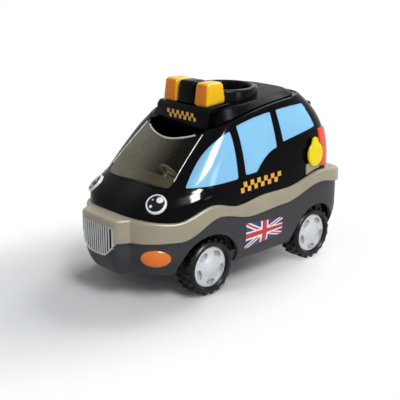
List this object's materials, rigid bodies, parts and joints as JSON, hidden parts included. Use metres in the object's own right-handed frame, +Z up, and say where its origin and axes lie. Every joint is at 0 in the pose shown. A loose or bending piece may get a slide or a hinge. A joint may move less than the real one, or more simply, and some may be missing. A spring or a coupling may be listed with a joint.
{
  "type": "toy taxi",
  "caption": "Chunky toy taxi with a raised wavy belt, roof sign lamps, a round figure well in the roof, a friction drive, a turning fuel cap and a lift-up tailgate.",
  "frame": {"origin": "on the ground under the middle of the car, half way between nose and tail", "axes": "+X forward to the nose, +Y to the left side of the car, +Z up"},
  "size_m": [0.164, 0.0928, 0.1149],
  "materials": {
    "black": "high gloss moulded black",
    "beige": "satin moulded beige",
    "charcoal": "satin moulded charcoal",
    "smoke": "clear smoked plastic",
    "amber": "glossy yellow",
    "orange": "glossy orange",
    "tail_red": "glossy orange red",
    "silver": "silver painted plastic",
    "white": "printed white and black",
    "sky": "printed light blue panel",
    "tyre": "dull black",
    "steel": "plain steel",
    "gear_white": "natural moulded gear plastic"
  },
  "bodies": {
    "taxi_body": {"upper_shell": "black", "belt_trim": "beige", "lower_skirt": "charcoal", "chassis_plate": "charcoal", "cabin_floor": "charcoal", "windscreen": "smoke", "dashboard": "beige", "steering_wheel": "black", "driver_seat": "charcoal", "passenger_well": "black", "roof_panel": "black", "sign_box": "black", "sign_bridge": "black", "roof_lamp_left": "amber", "roof_lamp_right": "amber", "grille": "silver", "headlamp_left": "white", "headlamp_right": "white", "indicator_left": "orange", "indicator_right": "orange", "tail_lamp_left": "tail_red", "tail_lamp_right": "tail_red", "window_front_left": "sky", "window_middle_left": "sky", "window_rear_left": "sky", "window_front_right": "sky", "window_middle_right": "sky", "window_rear_right": "sky", "fuel_plate": "beige", "fuel_pivot": "charcoal", "tailgate_knuckles": "black", "tailgate_pin": "steel", "front_bearing_left": "charcoal", "front_bearing_right": "charcoal", "rear_bearing_left": "charcoal", "rear_bearing_right": "charcoal", "gearbox_left": "charcoal", "gearbox_right": "charcoal", "base_screws": "steel"},
    "front_wheels": {"front_axle": "steel", "front_hub_left": "silver", "front_hub_right": "silver", "front_tyre_left": "tyre", "front_tyre_right": "tyre"},
    "rear_wheels": {"rear_axle": "steel", "rear_hub_left": "silver", "rear_hub_right": "silver", "rear_tyre_left": "tyre", "rear_tyre_right": "tyre", "axle_gear": "gear_white"},
    "idler": {"idler_gear": "gear_white"},
    "flywheel": {"flywheel": "steel", "flywheel_shaft": "steel"},
    "cap": {"fuel_cap": "amber"},
    "gate": {"tailgate": "black", "tailgate_window": "sky"}
  },
  "joints": [
    {"name": "front_wheels_spin", "type": "hinge", "parent": "taxi_body", "child": "front_wheels", "pos_m": [0.0334, 0, 0.0165], "axis": [0, 1, 0], "continuous": true},
    {"name": "rear_wheels_spin", "type": "hinge", "parent": "taxi_body", "child": "rear_wheels", "pos_m": [-0.0528, 0, 0.0165], "axis": [0, 1, 0], "continuous": true},
    {"name": "idler_spin", "type": "hinge", "parent": "taxi_body", "child": "idler", "pos_m": [-0.04293, 0, 0.02009], "axis": [0, 1, 0], "continuous": true},
    {"name": "flywheel_spin", "type": "hinge", "parent": "taxi_body", "child": "flywheel", "pos_m": [-0.03433, 0, 0.02611], "axis": [0, 1, 0], "continuous": true},
    {"name": "fuel_cap_turn", "type": "hinge", "parent": "taxi_body", "child": "cap", "pos_m": [-0.04798, 0.04297, 0.06882], "axis": [-0.1115, 0.9922, 0.0551], "range_deg": [-90, 90]},
    {"name": "tailgate_lift", "type": "hinge", "parent": "taxi_body", "child": "gate", "pos_m": [-0.06396, 0, 0.09407], "axis": [0, 1, 0], "range_deg": [0, 65]}
  ],
  "couplings": [
    {"joint": "idler_spin", "follows": "rear_wheels_spin", "ratio": -2},
    {"joint": "flywheel_spin", "follows": "rear_wheels_spin", "ratio": 4}
  ]
}
